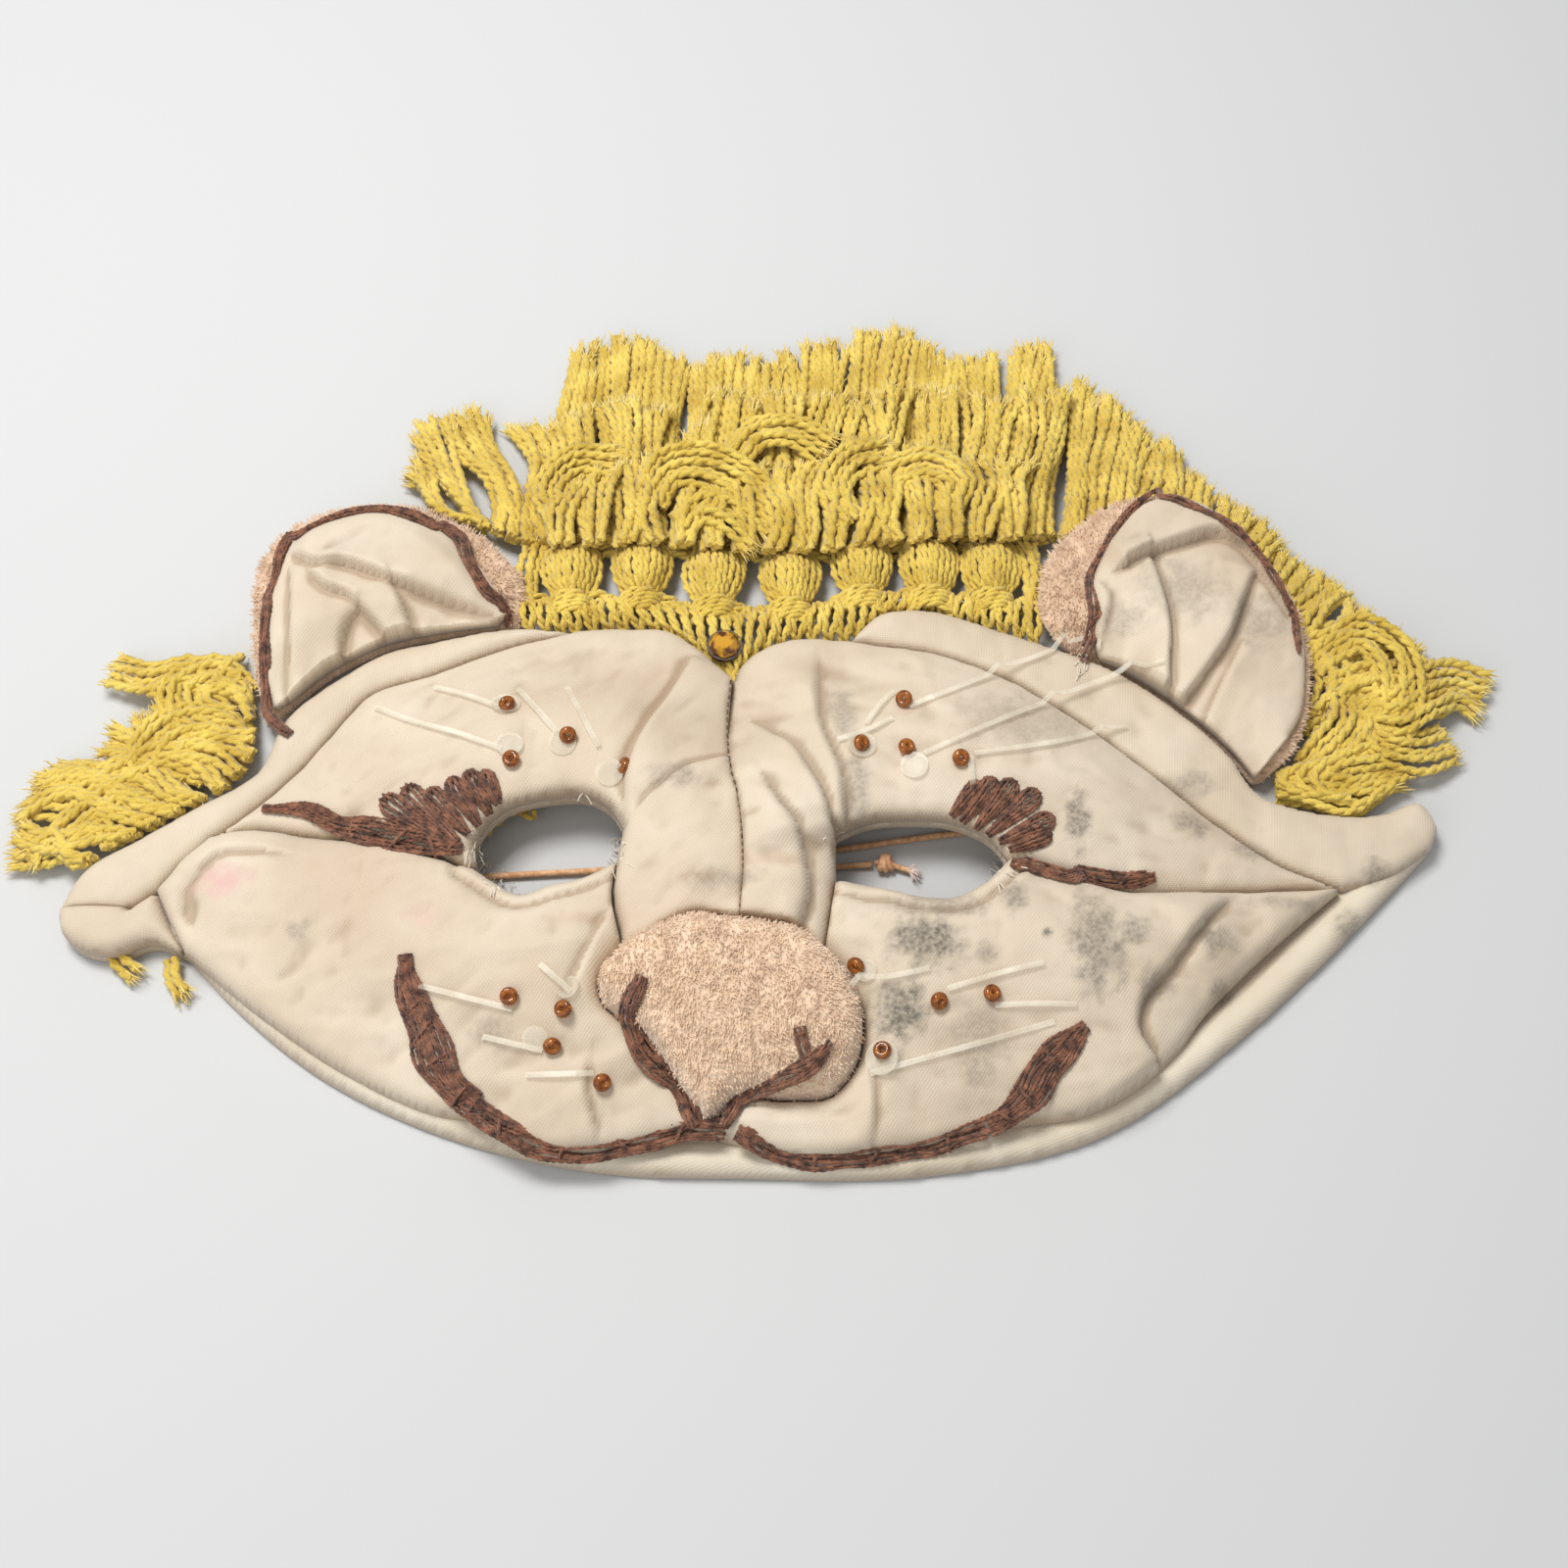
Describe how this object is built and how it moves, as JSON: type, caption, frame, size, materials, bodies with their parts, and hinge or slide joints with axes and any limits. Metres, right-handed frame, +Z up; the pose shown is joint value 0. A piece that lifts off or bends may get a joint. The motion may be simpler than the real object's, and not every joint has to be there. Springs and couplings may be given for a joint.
{
  "type": "lion half mask",
  "caption": "Soft quilted half mask of a lion, lying face up: eye openings, plush nose, folded ears, yarn mane and an elastic that holds it on.",
  "frame": {"origin": "middle of the mask's footprint, on the table that it lies on, the loose elastic left out", "axes": "+X across the mask towards the right in the picture, +Y from the chin to the mane, +Z up out of the face"},
  "size_m": [0.2528, 0.167, 0.0201],
  "materials": {
    "cloth": "beige satin-weave cloth over padding",
    "plush": "short pinkish beige plush",
    "yarn_gold": "mustard soft-spun yarn, knotted and cut as a fringe",
    "yarn_brown": "dark brown soft-spun yarn, sewn down",
    "elastic": "orange tan braided round elastic",
    "amber": "faceted amber glass",
    "brass": "darkened metal ring"
  },
  "bodies": {
    "root": {"backing": "cloth", "brow_band_left": "cloth", "brow_band_right": "cloth", "brow_yarn_left": "yarn_brown", "brow_yarn_right": "yarn_brown", "cheek_left": "cloth", "cheek_right": "cloth", "ear_left_back": "plush", "ear_left_front": "cloth", "ear_right_back": "plush", "ear_right_front": "cloth", "ear_yarn_left": "yarn_brown", "ear_yarn_right": "yarn_brown", "elastic": "elastic", "elastic_knot": "elastic", "face_left": "cloth", "face_right": "cloth", "fringe_crown_middle": "yarn_gold", "fringe_crown_outer": "yarn_gold", "fringe_crown_top": "yarn_gold", "fringe_ear_left": "yarn_gold", "fringe_left": "yarn_gold", "fringe_right": "yarn_gold", "lash_yarn_left": "yarn_brown", "lash_yarn_right": "yarn_brown", "mane_end_right": "yarn_gold", "mane_strip": "yarn_gold", "mane_strip_left_end": "yarn_gold", "mane_strip_right_end": "yarn_gold", "mouth_yarn_left": "yarn_brown", "mouth_yarn_right": "yarn_brown", "nose_pad": "plush", "nose_yarn_left": "yarn_brown", "nose_yarn_right": "yarn_brown", "rhinestone": "amber", "side_tab_left": "cloth", "stone_ring": "brass"}
  },
  "joints": []
}
